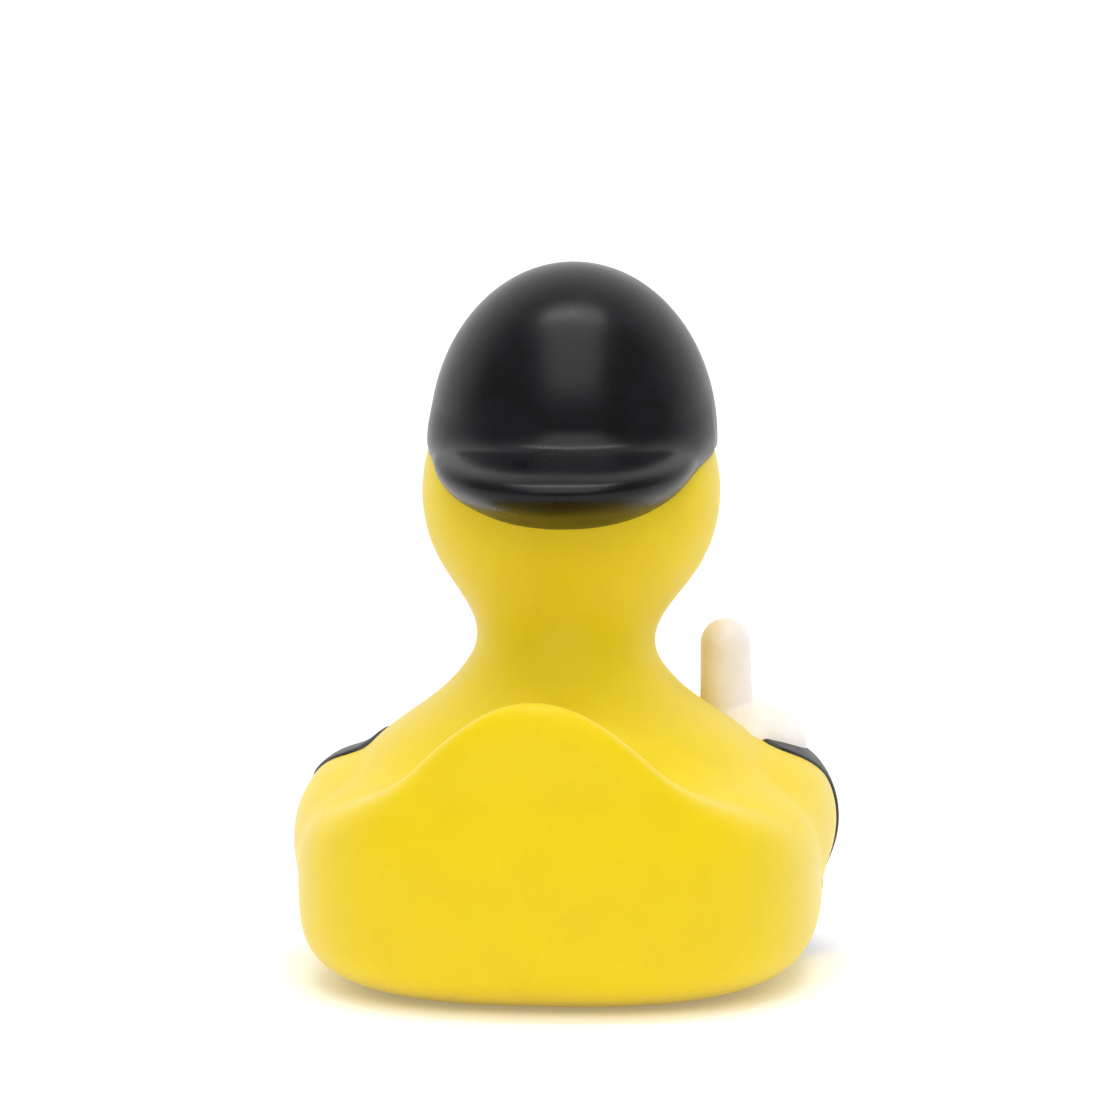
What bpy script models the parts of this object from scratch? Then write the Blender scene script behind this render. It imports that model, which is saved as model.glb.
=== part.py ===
"""Bath duck in a peaked cap, one hollow moulding of soft vinyl.

Metres, +Z up, beak along +Y, flat base on Z = 0, origin under the middle of the duck's box.
The shape functions work in millimetres. Each one is a field: negative inside the vinyl, zero on
its surface, positive outside. Fields are joined with smooth_min, which leaves a soft fillet, and
a skin is laid over the finished field by rays that leave points inside it.
"""
import bpy
import numpy as np
from mathutils import Vector

MM = 0.001
MIDDLE_Y = 3.68                     # the box's middle, ahead of the point where modelling starts

# Driving dimensions, in millimetres.
WALL = 2.3                          # vinyl thickness
AIR_HOLE = 3.4                      # diameter of the hole in the base
BODY_HALF_WIDTH = 32.4
BODY_HALF_LENGTH = 34.5
BODY_WIDEST_Z = 13.9
BODY_TOP_Z = 28.5
NECK_RADIUS = 9.2
HEAD_RADII = (18.85, 19.0, 18.5)
HEAD_CENTRE = (0.0, 11.35, 59.5)
TAIL_TIP_Z = 41.0                   # where the tail's two faces would meet, before rounding
TAIL_SPREAD = 23.5                  # how far the crest runs out to the sides
WING_RADII = (7.2, 18.0, 9.2)
WING_CENTRE = (26.0, 9.0, 18.9)
CAP_TURN = 1.2                      # degrees the cap is turned on the head
CAP_AXIS = (0.2, 11.5)
CAP_RADII = (18.2, 19.3, 22.05)
CAP_CENTRE_Z = 66.3
CAP_EDGE_Z = 64.6
PEAK_HALF_WIDTH = 16.4
PEAK_REACH = 30.0                   # from the cap's axis to the rim of the peak
PEAK_RIM_Z = 61.5                   # middle of the rim's thickness
DIGIT_TOP = (19.4, 14.0, 40.0)
DIGIT_FOOT = (19.6, 14.3, 30.0)
FIST_RADII = (6.4, 7.5, 5.0)
FIST_CENTRE = (23.4, 14.5, 27.4)
BEAK_HALF_WIDTH = 8.6
BEAK_Z = 53.6

# Points inside the vinyl that the rays leave.
BELLY = np.array((0.0, -5.0, 14.0))
SKULL = np.array((0.0, 11.5, 60.0))
CAP_HEART = (0.0, 3.0, 66.5)
HAND_HEART = (20.2, 14.3, 30.5)
BEAK_HEART = (0.0, 29.0, 53.2)
RAY_LENGTH = 62.0


def smooth_min(a, b, blend):
    """The lower of two fields, with a fillet about as wide as blend."""
    share = np.clip(0.5 + 0.5 * (b - a) / blend, 0, 1)
    return b + (a - b) * share - blend * share * (1 - share)


def smooth_max(a, b, blend):
    return -smooth_min(-a, -b, blend)


def turned(points, degrees, first, second):
    """Points turned in the plane of two of their axes."""
    angle = np.radians(degrees)
    result = points.copy()
    result[..., first] = points[..., first] * np.cos(angle) - points[..., second] * np.sin(angle)
    result[..., second] = points[..., first] * np.sin(angle) + points[..., second] * np.cos(angle)
    return result


def ellipsoid(points, radii):
    radii = np.array(radii)
    inner = np.linalg.norm(points / radii, axis=-1)
    slope = np.linalg.norm(points / radii**2, axis=-1)
    return inner * (inner - 1) / np.maximum(slope, 1e-9)


def rod(points, start, end, start_radius, end_radius):
    """A round-ended rod whose radius changes evenly along it."""
    start = np.array(start)
    along = np.array(end) - start
    share = np.clip((points - start) @ along / (along @ along), 0, 1)
    nearest = start + share[..., None] * along
    return np.linalg.norm(points - nearest, axis=-1) - start_radius - share * (end_radius - start_radius)


def plan_oval(x, y, half_width, half_length, power):
    """Zero at the middle, one on an oval that is squarer the higher the power."""
    return (np.abs(x / half_width) ** power + np.abs(y / half_length) ** power) ** (1 / power)


def torso(points):
    """An oval tub with a tight turn into its base and a rounder top."""
    x, y, z = np.moveaxis(points, -1, 0)
    plan = plan_oval(x, y - 1, BODY_HALF_WIDTH, BODY_HALF_LENGTH, 2.6)
    below = np.maximum(BODY_WIDEST_Z - z, 0) / (BODY_WIDEST_Z + 1)
    above = np.maximum(z - BODY_WIDEST_Z, 0) / (BODY_TOP_Z - BODY_WIDEST_Z)
    low = (plan**4 + below**4) ** 0.25
    high = (plan**2.9 + above**2.9) ** (1 / 2.9)
    return (np.where(z < BODY_WIDEST_Z, low, high) - 1) * 13


def tail(points):
    """The body's rear wall carried up to a bell-shaped crest, and a saddle falling away in front."""
    x, y, z = np.moveaxis(points, -1, 0)
    lean = 0.1 * (z - 14)
    plan = plan_oval(x, y + lean - 1, 29, 33.4, 2.5)
    below = np.maximum(14 - z, 0) / 12
    wall = ((plan**3 + below**3) ** (1 / 3) - 1) * 29
    crest = 9 + (TAIL_TIP_Z - 9) * np.exp(-((x / TAIL_SPREAD) ** 2))
    crest_y = -34 + 0.026 * x**2
    saddle = (z - crest + 0.9 * (y - crest_y)) / 1.345
    return smooth_max(wall, saddle, 6)


def wings(points):
    """Both wings at once: a leaning ellipsoid on the flank, mirrored by taking |x|."""
    side = np.stack([np.abs(points[..., 0]), points[..., 1], points[..., 2]], -1)
    local = turned(side - np.array(WING_CENTRE), -12, 0, 2)
    return ellipsoid(turned(local, 6, 0, 1), WING_RADII)


def body(points):
    """Torso, shoulders, tail, neck, head and wings as one soft form, cut flat at the base."""
    shoulders = ellipsoid(points - np.array((0, 4.3, 26.5)), (21.6, 22, 9.3))
    neck = rod(points, (0, 0.5, 30), (0, 6.5, 56), NECK_RADIUS, NECK_RADIUS)
    head = ellipsoid(points - np.array(HEAD_CENTRE), HEAD_RADII)
    field = smooth_min(torso(points), shoulders, 8.7)
    field = smooth_min(field, tail(points), 4)
    field = smooth_min(field, neck, 14)
    field = smooth_min(field, head, 6.3)
    field = smooth_min(field, wings(points), 1.8)
    return np.maximum(field, -points[..., 2])


def cap(points):
    """The cap's dome and, at the back, its drooping peak with a thick round lip."""
    local = turned(points - np.array((*CAP_AXIS, 0)), -CAP_TURN, 0, 1)
    x, y, z = np.moveaxis(local, -1, 0)
    dome = ellipsoid(local - np.array((0, 1, CAP_CENTRE_Z)), CAP_RADII)
    dome = smooth_max(dome, CAP_EDGE_Z - z, 1)
    plan = plan_oval(x, y + PEAK_REACH - 22, PEAK_HALF_WIDTH, 22, 2.6)
    behind = y + PEAK_REACH
    top = z - (PEAK_RIM_Z + 1.5 + 0.27 * behind - 0.006 * x**2)
    depth = 0.33 * smooth_min(behind, 12 + 0 * x, 4)
    underside = PEAK_RIM_Z - 1.7 - depth + 0.018 * x**2 + 0.00004 * x**4 - z
    peak = smooth_max(smooth_max((plan - 1) * 15, top, 3.2), underside, 3.2)
    peak = smooth_max(peak, y + 4, 1)
    return smooth_min(dome, peak, 3)


def hand(points):
    """A fist on the wing, with one digit raised."""
    digit = rod(points, DIGIT_TOP, DIGIT_FOOT, 3.15, 3.4)
    fist = ellipsoid(turned(points - np.array(FIST_CENTRE), 12, 0, 2), FIST_RADII)
    return smooth_min(digit, fist, 1)


def beak(points):
    """Two flat bills, the upper one longer."""
    upper = ellipsoid(points - np.array((0, 31.5, BEAK_Z + 0.9)), (BEAK_HALF_WIDTH, 10.5, 2.6))
    lower = ellipsoid(points - np.array((0, 30, BEAK_Z - 1.9)), (BEAK_HALF_WIDTH - 1.8, 8.5, 2.3))
    return smooth_min(upper, lower, 1.5)


def ease(value, start, end):
    """Zero before start and one after end, with a smooth rise between."""
    share = np.clip((value - start) / (end - start), 0, 1)
    return share * share * (3 - 2 * share)


def body_spine(rings, sides):
    """Start and elevation of every ray over the body, ring by ring from under the belly upwards.

    The rays leave the belly until they rise at 42 degrees, climb through the neck as they level
    out and dip, and then leave the skull until they point straight up. Those that face the rear
    start further back and rise more steeply on the way, so that they meet both faces of the tail.
    """
    step = np.linspace(0, 1, rings + 2)[1:-1, None]
    rear = np.maximum(np.cos(np.arange(sides) * 2 * np.pi / sides), 0)[None] ** 1.5
    belly = np.clip(step / 0.55, 0, 1)
    climb = np.clip((step - 0.55) / 0.15, 0, 1)
    crown = np.clip((step - 0.7) / 0.3, 0, 1)
    steepening = 58 * rear * (ease(step, 0.165, 0.36) - 0.5 * ease(step, 0.4, 0.55))
    belly_rise = np.radians(-90 + 132 * belly + steepening)
    steep = np.tan(np.radians(42))
    rear_steep = np.tan(np.radians(42 + 29 * rear)) - steep
    climb_rise = np.arctan(steep - (steep + 0.7) * climb + rear_steep * np.clip(1 - climb / 0.4, 0, 1))
    dip = np.arctan(-0.7)
    crown_rise = dip + (np.pi / 2 - dip) * crown + 0 * rear
    elevation = np.where(crown > 0, crown_rise, np.where(climb > 0, climb_rise, belly_rise))
    reach = ease(step, 0.11, 0.28) - ease(step, 0.36, 0.55)
    travel = np.stack([0 * climb, climb**1.5, climb], -1) * (SKULL - BELLY)
    starts = BELLY + travel + (rear * reach)[..., None] * np.array((0, -20, 7))
    return starts, elevation


def point_spine(heart, rings, sides):
    """Every ray leaves the same point."""
    elevation = np.linspace(-np.pi / 2, np.pi / 2, rings + 2)[1:-1, None]
    return np.array(heart) + np.zeros((rings, sides, 3)), elevation + np.zeros((rings, sides))


def surface(field, start, direction):
    """The point where each ray leaves the field's inside, found by halving its length."""
    near = np.zeros(direction.shape[:-1])
    far = np.full(direction.shape[:-1], RAY_LENGTH)
    for _ in range(30):
        middle = (near + far) / 2
        inside = field(start + middle[..., None] * direction) < 0
        near = np.where(inside, middle, near)
        far = np.where(inside, far, middle)
    return start + far[..., None] * direction


def skin(name, field, spine):
    """A closed mesh over a field: rings of quads, with a fan of triangles at each pole."""
    starts, elevation = spine
    rings, sides = elevation.shape
    around = np.arange(sides) * 2 * np.pi / sides
    flat = np.stack([np.sin(around), -np.cos(around), np.zeros(sides)], -1)
    up = np.array((0, 0, 1.0))
    direction = np.cos(elevation)[..., None] * flat + np.sin(elevation)[..., None] * up
    points = surface(field, starts, direction).reshape(-1, 3)
    poles = surface(field, starts[[0, -1], 0], np.array((-up, up)))
    points = (np.concatenate([points, poles]) - np.array((0, MIDDLE_Y, 0))) * MM
    ring = np.arange(rings - 1)[:, None] * sides
    here = np.arange(sides)
    following = (here + 1) % sides
    quads = np.stack([ring + here, ring + following, ring + sides + following, ring + sides + here], -1)
    pole = rings * sides
    last = pole - sides
    bottom = np.stack([here * 0 + pole, following, here], -1)
    top = np.stack([here * 0 + pole + 1, last + here, last + following], -1)
    mesh = bpy.data.meshes.new(name)
    mesh.from_pydata(points.tolist(), [], quads.reshape(-1, 4).tolist() + bottom.tolist() + top.tolist())
    part = bpy.data.objects.new(name, mesh)
    bpy.context.collection.objects.link(part)
    return part


def air_hole():
    """A pin through the base wall, which leaves the moulding's air hole."""
    bpy.ops.mesh.primitive_cylinder_add(vertices=20, radius=AIR_HOLE * MM / 2, depth=4 * WALL * MM)
    pin = bpy.context.object
    pin.name = "air_hole_cutter"
    pin.location = Vector((0, -MIDDLE_Y * MM, 0))
    return pin


def combine(part, other, operation):
    """A live Boolean, with the other shape kept as a hidden guide."""
    other.hide_render = True
    other.display_type = "WIRE"
    modifier = part.modifiers.new(other.name, "BOOLEAN")
    modifier.operation = operation
    modifier.object = other
    modifier.solver = "EXACT"


def vinyl(part, colour, roughness):
    material = bpy.data.materials.new(part.name + "_vinyl")
    material.use_nodes = True
    shader = material.node_tree.nodes["Principled BSDF"]
    shader.inputs["Base Color"].default_value = (*colour, 1)
    shader.inputs["Roughness"].default_value = roughness
    shader.inputs["Metallic"].default_value = 0
    part.data.materials.append(material)


def hollow(points):
    """The cavity: the body's field, a wall's thickness further in."""
    return body(points) + WALL


for leftover in list(bpy.data.objects):
    bpy.data.objects.remove(leftover)

duck = skin("duck", body, body_spine(46, 56))
vinyl(duck, (0.89, 0.64, 0.0), 0.5)
combine(duck, skin("cap_guide", cap, point_spine(CAP_HEART, 30, 44)), "UNION")
combine(duck, skin("hand_guide", hand, point_spine(HAND_HEART, 16, 16)), "UNION")
combine(duck, skin("beak_guide", beak, point_spine(BEAK_HEART, 14, 24)), "UNION")
combine(duck, skin("cavity_cutter", hollow, body_spine(26, 28)), "DIFFERENCE")
combine(duck, air_hole(), "DIFFERENCE")
duck.data.shade_smooth()
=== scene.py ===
# %% [markdown]
# # A bath duck in a peaked cap
#
# The real object is one hollow moulding of soft vinyl. It is spun in a hot mould, pulled out through
# its base, and then painted: the cap in gloss black, the shirt in satin black, the hand in a skin
# tone. So every piece here rides on one body, and the seams between them are the edges of paint.
#
# The duck has no straight line on it, and it could be sculpted by hand or subdivided from a rough
# cage. Here it is written down as fields instead: functions that are negative inside the vinyl and
# positive outside it. Two fields join with a soft fillet by one line of arithmetic, just as clay
# does, and the same numbers give the same duck each time.

import bpy
import numpy as np
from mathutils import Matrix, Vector


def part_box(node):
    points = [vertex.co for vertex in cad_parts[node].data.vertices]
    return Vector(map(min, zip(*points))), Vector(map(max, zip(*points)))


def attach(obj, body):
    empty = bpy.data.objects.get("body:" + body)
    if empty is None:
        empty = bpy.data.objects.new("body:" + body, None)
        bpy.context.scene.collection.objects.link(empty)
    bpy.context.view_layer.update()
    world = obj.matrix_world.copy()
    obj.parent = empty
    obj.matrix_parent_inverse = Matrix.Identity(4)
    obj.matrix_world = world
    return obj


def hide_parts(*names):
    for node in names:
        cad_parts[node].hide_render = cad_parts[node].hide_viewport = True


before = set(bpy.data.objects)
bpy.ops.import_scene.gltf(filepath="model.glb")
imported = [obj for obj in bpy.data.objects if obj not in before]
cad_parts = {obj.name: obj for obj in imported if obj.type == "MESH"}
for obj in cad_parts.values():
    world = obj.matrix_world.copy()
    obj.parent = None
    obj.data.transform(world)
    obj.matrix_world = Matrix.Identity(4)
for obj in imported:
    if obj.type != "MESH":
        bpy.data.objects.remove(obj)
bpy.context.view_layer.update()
low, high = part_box("duck")
print("the duck's box in mm:", [round(1000 * side, 1) for side in high - low])

# %% [markdown]
# ## Units and the frame
#
# Shapes are worked out in millimetres, since that is how a toy is measured, around an upright line
# through the duck's middle. The frame's origin lies under the middle of the box instead, so one shift
# along Y, read from the frame at the tip of the beak, carries every point over.

# %% Millimetres to the frame
MM = 0.001
BEAK_TIP_Y = 42.0
SHIFT = np.array((0, high.y / MM - BEAK_TIP_Y, 0))


def in_frame(points):
    """Points in millimetres, shifted along Y and scaled to metres."""
    return (points + SHIFT) * MM


print("shift along Y in mm:", round(float(SHIFT[1]), 2))

# %% [markdown]
# ## Tools for fields
#
# smooth_min is what makes this duck soft. Where two fields differ by more than the blend, it is the
# lower one; between, a parabola rounds the corner, which fills the crease where the shapes meet. An
# ellipsoid and a round-ended rod are then all that a bird needs, apart from its tub and its tail.

# %% Field arithmetic


def smooth_min(a, b, blend):
    """The lower of two fields, less a parabola that is blend / 4 deep where they are equal."""
    share = np.clip(0.5 + 0.5 * (b - a) / blend, 0, 1)
    return b + (a - b) * share - blend * share * (1 - share)


def smooth_max(a, b, blend):
    """The higher of two fields, with the corner between them rounded."""
    return -smooth_min(-a, -b, blend)


def ease(value, start, end):
    """Zero before start and one after end, rising as 3s^2 - 2s^3 between."""
    share = np.clip((value - start) / (end - start), 0, 1)
    return share * share * (3 - 2 * share)


def turned(points, degrees, first, second):
    """Points turned by an angle in the plane of two of their axes."""
    angle = np.radians(degrees)
    result = points.copy()
    result[..., first] = points[..., first] * np.cos(angle) - points[..., second] * np.sin(angle)
    result[..., second] = points[..., first] * np.sin(angle) + points[..., second] * np.cos(angle)
    return result


def ellipsoid(points, centre, radii):
    """|p / r| (|p / r| - 1) / |p / r^2|: close to the true distance near the surface."""
    local, radii = points - np.array(centre), np.array(radii)
    inner = np.linalg.norm(local / radii, axis=-1)
    slope = np.linalg.norm(local / radii**2, axis=-1)
    return inner * (inner - 1) / np.maximum(slope, 1e-9)


def rod(points, start, end, start_radius, end_radius):
    """Distance to the nearest point of a line, less a radius that changes evenly along it."""
    start = np.array(start)
    along = np.array(end) - start
    share = np.clip((points - start) @ along / (along @ along), 0, 1)
    nearest = start + share[..., None] * along
    return np.linalg.norm(points - nearest, axis=-1) - start_radius - share * (end_radius - start_radius)


def plan_oval(x, y, half_width, half_length, power):
    """(|x / w|^n + |y / l|^n)^(1/n): one on an oval that is squarer the higher the power n."""
    return (np.abs(x / half_width) ** power + np.abs(y / half_length) ** power) ** (1 / power)


# %% [markdown]
# ## The bird
#
# From the back the duck is a low tub with a shoulder cone, a thin neck and a round head. The tail is
# the tub's rear wall carried upwards to a bell-shaped crest, with a saddle falling away in front of
# it. Each wing is an ellipsoid laid against the flank, and the right one, which carries the hand, is
# held a little higher and further forward.

# %% Body fields
WALL = 2.3
BODY_HALF_WIDTH = 32.4
BODY_HALF_LENGTH = 34.5
BODY_WIDEST_Z = 13.9
BODY_TOP_Z = 28.5
TAIL_TIP_Z = 41.0
TAIL_SPREAD = 23.5
HEAD_CENTRE = (0.0, 11.35, 59.5)
HEAD_RADII = (18.85, 19.0, 18.5)
SHOULDER_CENTRE = (0, 4.3, 26.5)
SHOULDER_RADII = (21.6, 22, 9.3)
NECK_FOOT = (0, 0.5, 30)
NECK_TOP = (0, 6.5, 56)
NECK_RADIUS = 9.2
RIGHT_WING = (26.0, 9.0, 18.9)
LEFT_WING = (26.7, 3.5, 17.8)
WING_RADII = (7.2, 18, 9.2)
WING_LEAN, WING_TOE = -12, 6


def torso(points):
    """Plan oval and height, as shares of the tub's size, joined by a power sum."""
    x, y, z = np.moveaxis(points, -1, 0)
    plan = plan_oval(x, y - 1, BODY_HALF_WIDTH, BODY_HALF_LENGTH, 2.6)
    below = np.maximum(BODY_WIDEST_Z - z, 0) / (BODY_WIDEST_Z + 1)
    above = np.maximum(z - BODY_WIDEST_Z, 0) / (BODY_TOP_Z - BODY_WIDEST_Z)
    lower_half = (plan**4 + below**4) ** 0.25
    upper_half = (plan**2.9 + above**2.9) ** (1 / 2.9)
    return (np.where(z < BODY_WIDEST_Z, lower_half, upper_half) - 1) * 13


def tail(points):
    """The rear wall, leaning in as it rises, where it is also under the saddle's slope."""
    x, y, z = np.moveaxis(points, -1, 0)
    lean = 0.1 * (z - 14)
    plan = plan_oval(x, y + lean - 1, 29, 33.4, 2.5)
    below = np.maximum(14 - z, 0) / 12
    wall = ((plan**3 + below**3) ** (1 / 3) - 1) * 29
    crest = 9 + (TAIL_TIP_Z - 9) * np.exp(-((x / TAIL_SPREAD) ** 2))
    crest_y = -34 + 0.026 * x**2
    saddle = (z - crest + 0.9 * (y - crest_y)) / 1.345
    return smooth_max(wall, saddle, 6)


def wings(points):
    """An ellipsoid leaning on each flank, by taking |x|; the one with the hand is held higher."""
    side = np.stack([np.abs(points[..., 0]), points[..., 1], points[..., 2]], -1)
    centre = np.where(points[..., :1] > 0, np.array(RIGHT_WING), np.array(LEFT_WING))
    local = turned(side - centre, WING_LEAN, 0, 2)
    return ellipsoid(turned(local, WING_TOE, 0, 1), (0, 0, 0), WING_RADII)


def bird(points):
    """Tub, shoulders, tail, neck, head and wings, each joined with a fillet of its own width."""
    field = smooth_min(torso(points), ellipsoid(points, SHOULDER_CENTRE, SHOULDER_RADII), 8.7)
    field = smooth_min(field, tail(points), 4)
    field = smooth_min(field, rod(points, NECK_FOOT, NECK_TOP, NECK_RADIUS, NECK_RADIUS), 14)
    field = smooth_min(field, ellipsoid(points, HEAD_CENTRE, HEAD_RADII), 6.3)
    return smooth_min(field, wings(points), 1.8)


# %% [markdown]
# ## From a field to a skin
#
# A skin is a grid of two parameters, the step up the body and the turn around it. Each grid point
# sends a ray out from a spine inside the duck, and halving the ray's length again and again finds
# where it leaves the vinyl. Rays from one point would miss the hollow behind the tail and under the
# head, so the spine climbs from the belly to the skull, and reaches back for the rays that face the
# tail. A marching-cubes or voxel mesh would need no spine, but it would lose the even rows of quads.

# %% Rays, relaxing and meshes
BELLY = np.array((0.0, -5.0, 14.0))
SKULL = np.array((0.0, 11.5, 60.0))
RAY_LENGTH = 62.0


def surface(field, start, direction):
    """Thirty halvings of each ray, keeping the half in which the field changes sign."""
    near = np.zeros(direction.shape[:-1])
    far = np.full(direction.shape[:-1], RAY_LENGTH)
    for _ in range(30):
        middle = (near + far) / 2
        inside = field(start + middle[..., None] * direction) < 0
        near = np.where(inside, middle, near)
        far = np.where(inside, far, middle)
    return start + far[..., None] * direction


def compass(turn, elevation):
    """Unit vectors from a turn, with -Y at zero and +X at a quarter, and a rise above the floor."""
    flat = np.cos(elevation)
    return np.stack([np.sin(turn) * flat, -np.cos(turn) * flat, np.sin(elevation) + 0 * turn], -1)


def slope(field, points):
    """The field's gradient, by differences over a fiftieth of a millimetre each way."""
    nudge = 0.02 * np.eye(3)
    steps = [field(points + nudge[axis]) - field(points - nudge[axis]) for axis in range(3)]
    return np.stack(steps, -1) / 0.04


def settle(field, points):
    """Newton's step: down the gradient by field / |gradient|^2."""
    gradient = slope(field, points)
    size = np.maximum((gradient**2).sum(-1), 1e-3)
    return points - (field(points) / size)[..., None] * gradient


def relax(field, points, rounds):
    """Each inner row moves half-way to the mean of its four neighbours and settles on the field."""
    for _ in range(rounds):
        inner = points[1:-1]
        around = np.roll(inner, 1, 1) + np.roll(inner, -1, 1)
        mean = (around + points[:-2] + points[2:]) / 4
        points[1:-1] = settle(field, (inner + mean) / 2)
    return points


def closed_mesh(name, rows, first_pole, last_pole):
    """A tube of quads from grid rows, closed by a fan of triangles at each end."""
    count, sides = rows.shape[:2]
    points = np.concatenate([rows.reshape(-1, 3), [first_pole, last_pole]])
    ring = np.arange(count - 1)[:, None] * sides
    here = np.arange(sides)
    after = (here + 1) % sides
    quads = np.stack([ring + here, ring + after, ring + sides + after, ring + sides + here], -1)
    pole, last = count * sides, (count - 1) * sides
    fans = [np.stack([0 * here + pole, after, here], -1)]
    fans += [np.stack([0 * here + pole + 1, last + here, last + after], -1)]
    faces = quads.reshape(-1, 4).tolist() + np.concatenate(fans).tolist()
    mesh = bpy.data.meshes.new(name)
    mesh.from_pydata(in_frame(points).tolist(), [], faces)
    mesh.shade_smooth()
    piece = bpy.data.objects.new(name, mesh)
    bpy.context.scene.collection.objects.link(piece)
    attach(piece, "root")
    print(f"{name}: {len(quads.reshape(-1, 4)) * 2 + 2 * sides} triangles")
    return piece


# %% [markdown]
# ## The vinyl skin
#
# The moulding is hollow, with a wall of about 2.3 mm and an air hole in the flat base, which lets it
# squeak and drain. One tube of quads makes all of it: from the top of the cavity down its walls, out
# through the air hole, across the base and up the outside to the crown. One row of the grid is laid
# exactly on the base's edge, so that the flat base ends in a clean oval.

# %% The duck's skin
SIDES = 288
AIR_HOLE_RADIUS = 1.7


def spine(step, turn):
    """Start and direction of the rays at a step from 0, straight down, to 1, straight up.

    Up to step 0.55 they rise from the belly to 42 degrees, up to 0.7 they climb the neck, levelling
    out and dipping, and from there they fan out of the skull. Those facing the rear start further
    back and steeper for a while, so that they meet both faces of the tail.
    """
    rear = np.maximum(np.cos(turn), 0) ** 1.5
    climb = np.clip((step - 0.55) / 0.15, 0, 1)
    crown = np.clip((step - 0.7) / 0.3, 0, 1)
    steepening = 58 * rear * (ease(step, 0.165, 0.36) - 0.5 * ease(step, 0.4, 0.55))
    belly_rise = np.radians(-90 + 132 * np.clip(step / 0.55, 0, 1) + steepening)
    steep, dip = np.tan(np.radians(42)), -0.7
    rear_steep = (np.tan(np.radians(42 + 29 * rear)) - steep) * np.clip(1 - climb / 0.5, 0, 1)
    climb_rise = np.arctan(steep - (steep - dip) * climb + rear_steep)
    crown_rise = np.arctan(dip) + (np.pi / 2 - np.arctan(dip)) * crown
    elevation = np.where(crown > 0, crown_rise, np.where(climb > 0, climb_rise, belly_rise))
    reach = rear * (ease(step, 0.11, 0.28) - ease(step, 0.36, 0.55))
    travel = np.stack([0 * climb, climb**1.5, climb], -1) * (SKULL - BELLY)
    return BELLY + travel + reach[..., None] * np.array((0, -20, 7)), compass(turn, elevation)


def base_edge(field, floor, turn):
    """The step whose ray runs through the floor's edge, by halving between 0.02 and 0.3."""
    near, far = 0 * turn + 0.02, 0 * turn + 0.3
    for _ in range(30):
        step = (near + far) / 2
        start, direction = spine(step, turn)
        drop = (start[..., 2] - floor) / np.maximum(-direction[..., 2], 1e-6)
        on_floor = start + drop[..., None] * direction
        inside = (field(on_floor) < 0) & (direction[..., 2] < 0)
        near, far = np.where(inside, step, near), np.where(inside, far, step)
    return far


def shell(inset, base_rows, side_rows, rounds):
    """Rows from the air hole's rim over the base to its edge, and from there up to the crown."""
    def field(points):
        return bird(points) + inset

    turn = (np.arange(SIDES) * 2 * np.pi / SIDES)[None]
    edge_step = base_edge(field, inset, turn)
    share = np.linspace(0, 1, side_rows)[:, None]
    start, direction = spine(edge_step + share * (0.992 - edge_step), turn)
    sides = relax(field, surface(field, start, direction), rounds)
    rim = compass(turn, 0 * turn) * AIR_HOLE_RADIUS + np.array((0, 0, inset))
    across = np.linspace(0, 1, base_rows + 1)[:-1, None, None]
    edge = sides[:1] * np.array((1, 1, 0)) + np.array((0, 0, inset))
    base = rim + across * (edge - rim)
    return np.concatenate([base, sides])


outside = shell(0.0, 14, 282, 24)
inside = shell(WALL, 5, 18, 0)
crown_outside = surface(bird, SKULL, np.array((0, 0, 1.0)))
crown_inside = crown_outside - np.array((0, 0, WALL))
body = closed_mesh("duck_body", np.concatenate([inside[::-1], outside]), crown_inside, crown_outside)
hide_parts("duck")

# %% [markdown]
# ## The cap
#
# The cap is moulded with the head and stands a little proud of it, with an edge like a thick shell's.
# It is worn back to front and a little turned, so its peak hangs over the neck. The dome is an
# ellipsoid cut level above the eyes. The peak is the space inside a plan oval, under a top that
# droops away from the dome and over an underside that rises to the lip.

# %% The cap's field and skin
CAP_TURN = 1.2
CAP_AXIS = (0.2, 11.5, 0)
CAP_RADII = (18.2, 19.3, 22.05)
CAP_CENTRE = (0, 1, 66.3)
CAP_EDGE_Z = 64.6
PEAK_HALF_WIDTH = 17.0
PEAK_REACH = 30.0
PEAK_RIM_Z = 61.5


def cap(points):
    """A dome cut level, joined to a peak bounded by a plan oval, a top and an underside."""
    local = turned(points - np.array(CAP_AXIS), -CAP_TURN, 0, 1)
    x, y, z = np.moveaxis(local, -1, 0)
    dome = smooth_max(ellipsoid(local, CAP_CENTRE, CAP_RADII), CAP_EDGE_Z - z, 1)
    plan = plan_oval(x, y + PEAK_REACH - 22, PEAK_HALF_WIDTH, 22, 2.6)
    behind = y + PEAK_REACH
    top = z - (PEAK_RIM_Z + 1.5 + 0.27 * behind - 0.006 * x**2)
    depth = 0.33 * smooth_min(behind, 12 + 0 * x, 4)
    underside = PEAK_RIM_Z - 1.7 - depth + 0.018 * x**2 + 0.000025 * x**4 - z
    peak = smooth_max(smooth_max((plan - 1) * 15, top, 3.2), underside, 3.2)
    return smooth_min(dome, smooth_max(peak, y + 4, 1), 3)


def round_skin(name, field, heart, rows, sides, rounds):
    """A closed skin over a field whose every ray leaves one point."""
    turn = (np.arange(sides) * 2 * np.pi / sides)[None]
    rise = np.linspace(-np.pi / 2, np.pi / 2, rows + 2)[1:-1, None]
    direction = compass(turn, rise)
    heart = np.array(heart)
    points = relax(field, surface(field, heart, direction), rounds)
    up = np.array((0, 0, 1.0))
    return closed_mesh(name, points, surface(field, heart, -up), surface(field, heart, up))


cap_piece = round_skin("cap", cap, (0, 3, 66.5), 240, 300, 30)

# %% [markdown]
# ## The hand
#
# A closed fist stands on one wing with one digit raised. The digit is a rod that thickens towards its
# foot. The fist is an ellipsoid, and shallow level grooves over its front make the folded fingers.

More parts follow.
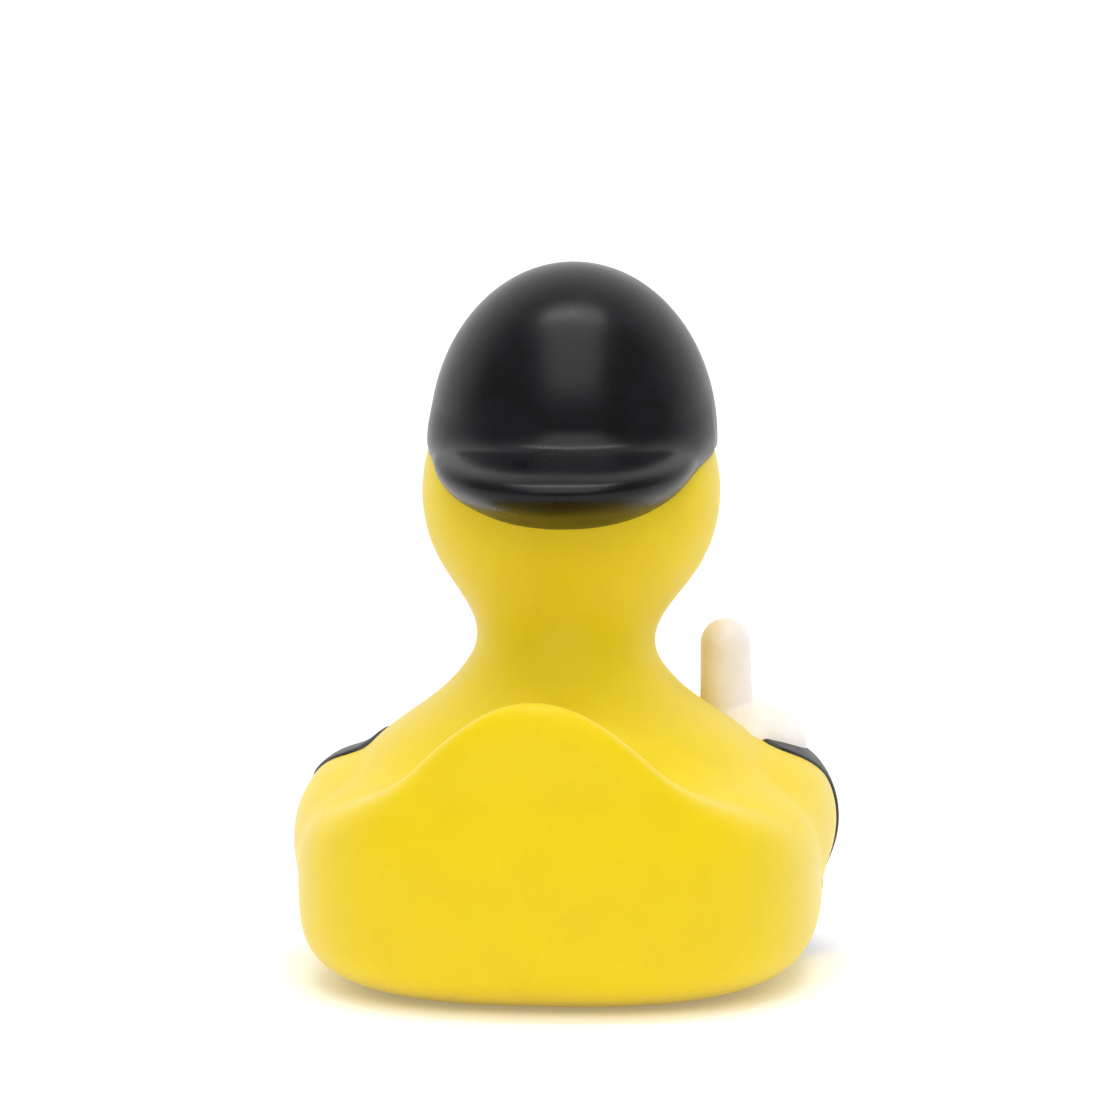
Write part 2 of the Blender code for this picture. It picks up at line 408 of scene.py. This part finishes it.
# %% The hand's field and skin
DIGIT_TOP = (19.4, 14, 40.0)
DIGIT_FOOT = (19.6, 14.3, 30)
FIST_CENTRE = (23.4, 14.5, 27.4)
FIST_RADII = (6.4, 7.5, 5)
FINGER = 2.5
GROOVE_DEPTH = 0.35
DIGIT_RADII = (3.15, 3.4)


def hand(points):
    """A rod and a leaning ellipsoid, with shallow grooves, a finger apart, in front."""
    leaning = turned(points - np.array(FIST_CENTRE), 12, 0, 2)
    fist = ellipsoid(leaning, (0, 0, 0), FIST_RADII)
    groove = np.abs(np.cos(np.pi * leaning[..., 2] / FINGER)) ** 6
    fist = fist + GROOVE_DEPTH * groove * ease(leaning[..., 1], 1, 4)
    return smooth_min(rod(points, DIGIT_TOP, DIGIT_FOOT, *DIGIT_RADII), fist, 1)


hand_piece = round_skin("hand", hand, (20.2, 14.3, 30.5), 140, 160, 12)

# %% [markdown]
# ## The beak
#
# The beak is two flat bills, the upper one longer, with a soft line between them where the paint of
# the mouth would pool.

# %% The beak's field and skin
BEAK_HALF_WIDTH = 8.6
BEAK_Z = 53.6


def beak(points):
    """Two flat ellipsoids, one over the other, with a narrow fillet between."""
    upper = ellipsoid(points, (0, 31.5, BEAK_Z + 0.9), (BEAK_HALF_WIDTH, 10.5, 2.6))
    lower = ellipsoid(points, (0, 30, BEAK_Z - 1.9), (BEAK_HALF_WIDTH - 1.8, 8.5, 2.3))
    return smooth_min(upper, lower, 1)


beak_piece = round_skin("beak", beak, (0, 29, 53.2), 110, 160, 12)

# %% [markdown]
# ## Painted patches
#
# The shirt and the eyes are coats of paint. A coat has a thickness and a round edge, so each patch is
# a thin closed shell: its outer face stands proud of the vinyl and dives under it along the border,
# and its inner face is just below the vinyl. A patch is laid out in polar form around a middle
# direction, and its border is where a rule about the place changes sign.

# %% Patches
EDGE_SINK = 0.15
UNDERCOAT_DEPTH = 0.35


def patch(name, heart, middle, rule, proud, widest=1.9, rows=90, sides=360):
    """A thin shell over the part of the bird's surface where rule is negative.

    Around the middle, at each angle, halving finds how far the turn and rise can go before the rule
    turns positive. Rows fill the patch up to there. The outer face's height over the vinyl ends in
    a quarter of an ellipse, which dives under it by EDGE_SINK.
    """
    heart = np.array(heart, float)
    angle = (np.arange(sides) * 2 * np.pi / sides)[None]

    def place(reach, height):
        turn = middle[0] + reach * np.cos(angle)
        rise = middle[1] + reach * np.sin(angle)
        return surface(lambda points: bird(points) - height, heart, compass(turn, rise))

    near, far = 0 * angle, 0 * angle + widest
    for _ in range(22):
        reach = (near + far) / 2
        inside_rule = rule(place(reach, 0)) < 0
        near, far = np.where(inside_rule, reach, near), np.where(inside_rule, far, reach)
    share = (1 - (1 - np.linspace(0, 1, rows + 1)[1:, None]) ** 1.6)
    rounding = np.sqrt(np.clip(1 - (np.clip(share - 0.985, 0, 1) / 0.015) ** 2, 0, 1))
    outer = place(share * near, (proud + EDGE_SINK) * rounding - EDGE_SINK)
    fewer = share[::4][:-1]
    under = place(fewer * near, 0 * fewer - UNDERCOAT_DEPTH)
    first_pole, last_pole = (place(0 * near, height)[0, 0] for height in (-UNDERCOAT_DEPTH, proud))
    return closed_mesh(name, np.concatenate([under, outer[::-1]]), first_pole, last_pole)


# %% [markdown]
# ## The shirt
#
# Only the shirt's rear edge shows from behind: a thin black band over the top of each wing. It is
# carried on over the chest, up to a crew neck, as a plain satin coat. The edge crosses the top of the
# wing, and runs forward again lower down. The raised wing shows more of it than the other.

# %% The shirt
ARMPIT_X = 21.5
CHEST_Y = 14
NECKLINE_Z = 37.5
HEM_Z = 1.6
RIGHT_SLEEVE = {"start": 12.2, "fall": 1.6, "rear": 4.0, "top": 28.1}
LEFT_SLEEVE = {"start": 14.5, "fall": 4, "rear": 1.0, "top": 26.8}


def sleeve_edge(x, z, start, fall, rear, top):
    """The edge's Y: from start at the armpit it falls to rear, and gains 2 for each mm below top."""
    over = smooth_max(start - fall * (np.abs(x) - ARMPIT_X), rear + 0 * x, 3)
    return over + 2 * np.maximum(top - z, 0)


def shirt_rule(points):
    """Negative in front of the side edge, under the neckline and above the hem."""
    x, y, z = np.moveaxis(points, -1, 0)
    side = np.where(x > 0, sleeve_edge(x, z, **RIGHT_SLEEVE), sleeve_edge(x, z, **LEFT_SLEEVE))
    side = smooth_min(side, CHEST_Y + 0 * side, 3)
    neckline = z - (NECKLINE_Z - 0.32 * (y - 8))
    return smooth_max(smooth_max(side - y, neckline, 1.5), HEM_Z - z, 1)


shirt = patch("shirt", (0, 2, 15), (np.pi, 0.35), shirt_rule, 0.3)

# %% [markdown]
# ## The eyes
#
# Each eye is a white oval with a black pupil, set either side of the beak under the cap's edge.

# %% The eyes
EYE_SIDE, EYE_Z = 7.6, 58.6
EYE_HALF = (3.3, 4.2)
PUPIL_HALF = (1.7, 2.3)


def eye_rule(side, half_width, half_height):
    """An upright oval seen from the front, centred beside the beak."""
    def rule(points):
        x, y, z = np.moveaxis(points, -1, 0)
        return plan_oval(x - side * EYE_SIDE, z - EYE_Z, half_width, half_height, 2) - 1
    return rule


eyes, pupils = [], []
for side, word in ((-1, "left"), (1, "right")):
    turn = np.pi - side * np.arctan2(EYE_SIDE, 17.3)
    rise = np.arctan2(EYE_Z - HEAD_CENTRE[2], 19)
    eyes += [patch(f"eye_{word}", HEAD_CENTRE, (turn, rise), eye_rule(side, *EYE_HALF), 0.25,
                   rows=24, sides=96, widest=0.5)]
    pupils += [patch(f"pupil_{word}", HEAD_CENTRE, (turn, rise), eye_rule(side, *PUPIL_HALF), 0.4,
                     rows=18, sides=72, widest=0.5)]

# %% [markdown]
# ## Materials
#
# Colours are given as the eye reads them on a screen, in sRGB hex, and one function turns them into
# the linear values that light is added up in. Every pattern's scale is one over a size in metres,
# because Object coordinates are in metres.

# %% Material helpers


def linear(text):
    """sRGB hex to linear RGBA: x / 12.92 below 0.04045, ((x + 0.055) / 1.055)^2.4 above."""
    value = np.array([int(text[i:i + 2], 16) for i in (0, 2, 4)]) / 255
    curve = np.where(value < 0.04045, value / 12.92, ((value + 0.055) / 1.055) ** 2.4)
    return (*curve.tolist(), 1.0)


def add_node(tree, kind, inputs=None, **settings):
    """One node with its settings; an input is a value to set or an output socket to link."""
    node = tree.nodes.new(kind)
    for name, value in settings.items():
        setattr(node, name, value)
    for name, value in (inputs or {}).items():
        if isinstance(value, bpy.types.NodeSocket):
            tree.links.new(value, node.inputs[name])
        else:
            node.inputs[name].default_value = value
    return node


def per_size(millimetres):
    """A pattern scale whose features are about that size."""
    return 1 / (millimetres * MM)


def coated(name, dark, light, cloud_mm, grain_mm, grain_height_mm, roughness, sockets):
    """A material with clouds between two colours, uneven roughness and a fine surface grain.

    Clouds and grain are noises on Object coordinates. The clouds mix the two colours and spread the
    roughness over the given range, and the grain speckles the colour and goes to the bump.
    """
    material = bpy.data.materials.new(name)
    material.use_nodes = True
    tree = material.node_tree
    tree.nodes.clear()
    place = add_node(tree, "ShaderNodeTexCoord").outputs["Object"]
    clouds = add_node(tree, "ShaderNodeTexNoise", {
        "Vector": place, "Scale": per_size(cloud_mm), "Detail": 4.0})
    grain = add_node(tree, "ShaderNodeTexNoise", {
        "Vector": place, "Scale": per_size(grain_mm), "Detail": 2.0})
    blend = add_node(tree, "ShaderNodeMapRange", {
        "Value": clouds.outputs["Fac"], "From Min": 0.3, "From Max": 0.7, "To Min": 0.0, "To Max": 1.0})
    speck = add_node(tree, "ShaderNodeMapRange", {
        "Value": grain.outputs["Fac"], "From Min": 0.3, "From Max": 0.7, "To Min": -0.25, "To Max": 0.25})
    both = add_node(tree, "ShaderNodeMath", {0: blend.outputs[0], 1: speck.outputs[0]}, operation="ADD",
                    use_clamp=True)
    colour = add_node(tree, "ShaderNodeMix", {0: both.outputs[0], 6: linear(dark), 7: linear(light)},
                      data_type="RGBA")
    rough = add_node(tree, "ShaderNodeMapRange", {
        "Value": clouds.outputs["Fac"], "From Min": 0.3, "From Max": 0.7,
        "To Min": roughness[0], "To Max": roughness[1]})
    bump = add_node(tree, "ShaderNodeBump", {
        "Height": grain.outputs["Fac"], "Distance": grain_height_mm * MM, "Strength": 1.0})
    shader = add_node(tree, "ShaderNodeBsdfPrincipled", {
        "Base Color": colour.outputs[2], "Roughness": rough.outputs[0],
        "Normal": bump.outputs[0], **sockets})
    add_node(tree, "ShaderNodeOutputMaterial", {"Surface": shader.outputs[0]})
    print("material", name)
    return material


# %% [markdown]
# ## What each finish is
#
# Soft vinyl comes out of a lightly blasted mould, so it is matt, and its surface scatters a little
# light inside. Against a bright room a matt plastic also turns paler at its edges, which the sheen
# adds. The cap's enamel is sprayed on and glossy. The shirt is the same paint thinned to satin. The
# hand and the beak are sprayed with satin paint too, which hides the yellow but not the mould's grain.
# The eyes are printed with gloss enamel, so they catch the light like wet paint.

# %% Materials
SOFT_VINYL = {"IOR": 1.5, "Subsurface Weight": 0.25, "Subsurface Radius": (1.0, 0.55, 0.12),
              "Subsurface Scale": 1.5 * MM, "Specular IOR Level": 0.25,
              "Sheen Weight": 0.2, "Sheen Roughness": 0.4}
vinyl = coated("soft_yellow_vinyl", "E8CB00", "ECD000", 6, 0.5, 0.006, (0.42, 0.5), SOFT_VINYL)
enamel = coated("gloss_black_enamel", "08080A", "121217", 5, 0.35, 0.006, (0.26, 0.33), {
    "IOR": 1.5, "Specular IOR Level": 0.22})
satin = coated("satin_black_paint", "121214", "19191C", 4, 0.4, 0.006, (0.4, 0.5), {"IOR": 1.5})
skin_paint = coated("skin_tone_paint", "F1E8DF", "F7F0E9", 3, 0.4, 0.006, (0.4, 0.5), {
    "IOR": 1.5, "Subsurface Weight": 0.15, "Subsurface Radius": (1.0, 0.5, 0.3), "Subsurface Scale": MM})
orange = coated("orange_paint", "E8760A", "F08418", 4, 0.4, 0.006, (0.35, 0.45), {"IOR": 1.5})
white = coated("white_enamel", "F0F0EC", "FAFAF6", 2, 0.3, 0.003, (0.2, 0.25), {"IOR": 1.5})

finishes = {"duck_body": vinyl, "cap": enamel, "hand": skin_paint, "beak": orange, "shirt": satin}
finishes |= {piece.name: white for piece in eyes} | {piece.name: enamel for piece in pupils}
for name, finish in finishes.items():
    bpy.data.objects[name].data.materials.append(finish)

# %% [markdown]
# ## Floor, light and camera
#
# The duck stands on a pale floor in a white room, and the floor gives off a little light of its own, so
# that it stays as white as the walls. Only the end of the room behind the camera is dim: gloss black
# paint shows what is in front of it, and it looks black only where that is dark. A broad window there
# and a thin tube overhead make the two reflections on the cap. The camera looks at the duck's back
# from just above the level of the tail, with a long lens.

# %% Floor
FLOOR_HALF = 0.5
floor_mesh = bpy.data.meshes.new("floor")
corners = FLOOR_HALF * np.array(((-1, -1, 0), (1, -1, 0), (1, 1, 0), (-1, 1, 0)))
floor_mesh.from_pydata(corners.tolist(), [], [(0, 1, 2, 3)])
floor = bpy.data.objects.new("floor", floor_mesh)
bpy.context.scene.collection.objects.link(floor)
floor.data.materials.append(coated("pale_floor", "FAFAFA", "FEFEFE", 60, 2, 0.002, (0.6, 0.7), {
    "IOR": 1.4, "Emission Color": (1, 1, 1, 1), "Emission Strength": 0.15}))

# %% World and lamps
WALLS, DARK_END = 1.2, 0.38
world = bpy.data.worlds.new("white_room")
world.use_nodes = True
room = world.node_tree
toward = add_node(room, "ShaderNodeVectorMath", {
    0: add_node(room, "ShaderNodeTexCoord").outputs["Generated"], 1: (0.104, -0.989, 0.105)},
    operation="DOT_PRODUCT")
brightness = add_node(room, "ShaderNodeMapRange", {
    "Value": toward.outputs["Value"], "From Min": -0.45, "From Max": 0.15,
    "To Min": WALLS, "To Max": DARK_END}, interpolation_type="SMOOTHSTEP")
seen = add_node(room, "ShaderNodeMix", {
    0: add_node(room, "ShaderNodeLightPath").outputs["Is Camera Ray"], 2: brightness.outputs[0], 3: WALLS})
room.links.new(seen.outputs[0], room.nodes["Background"].inputs["Strength"])
room.nodes["Background"].inputs["Color"].default_value = (1, 1, 1, 1)
bpy.context.scene.world = world
bpy.context.scene.view_settings.view_transform = "Standard"


def soft_box(name, azimuth, elevation, distance, size, radiance, aim=(0, 0, 0.07)):
    """An area lamp seen from the aim at an azimuth and elevation, of a given radiance.

    An area lamp of P watts and area A sends out a radiance of P / (pi A), so P is worked out.
    """
    lamp = bpy.data.lights.new(name, "AREA")
    lamp.shape = "RECTANGLE"
    lamp.size, lamp.size_y = size
    lamp.energy = radiance * np.pi * size[0] * size[1]
    box = bpy.data.objects.new(name, lamp)
    out = Vector(compass(np.radians(azimuth), np.radians(elevation)))
    box.location = Vector(aim) + distance * out
    box.rotation_euler = out.to_track_quat("Z", "Y").to_euler()
    bpy.context.scene.collection.objects.link(box)


soft_box("window", 6, 52, 1.0, (0.8, 0.9), 2.3)
soft_box("tube", 6, 84, 0.8, (0.6, 0.05), 24)

# %% Camera
LENS, DISTANCE, AZIMUTH, ELEVATION = 160.7, 0.62, np.radians(6), np.radians(6)
aim = Vector(in_frame(np.array((-0.43, 0, 52))))
level = np.cos(ELEVATION)
back = Vector((np.sin(AZIMUTH) * level, -np.cos(AZIMUTH) * level, np.sin(ELEVATION)))
lens = bpy.data.cameras.new("camera")
lens.lens, lens.sensor_width = LENS, 36
camera = bpy.data.objects.new("camera", lens)
camera.location = aim + back * DISTANCE
camera.rotation_euler = back.to_track_quat("Z", "Y").to_euler()
bpy.context.scene.collection.objects.link(camera)
bpy.context.scene.camera = camera
print("camera at", [round(place, 3) for place in camera.location], "m")
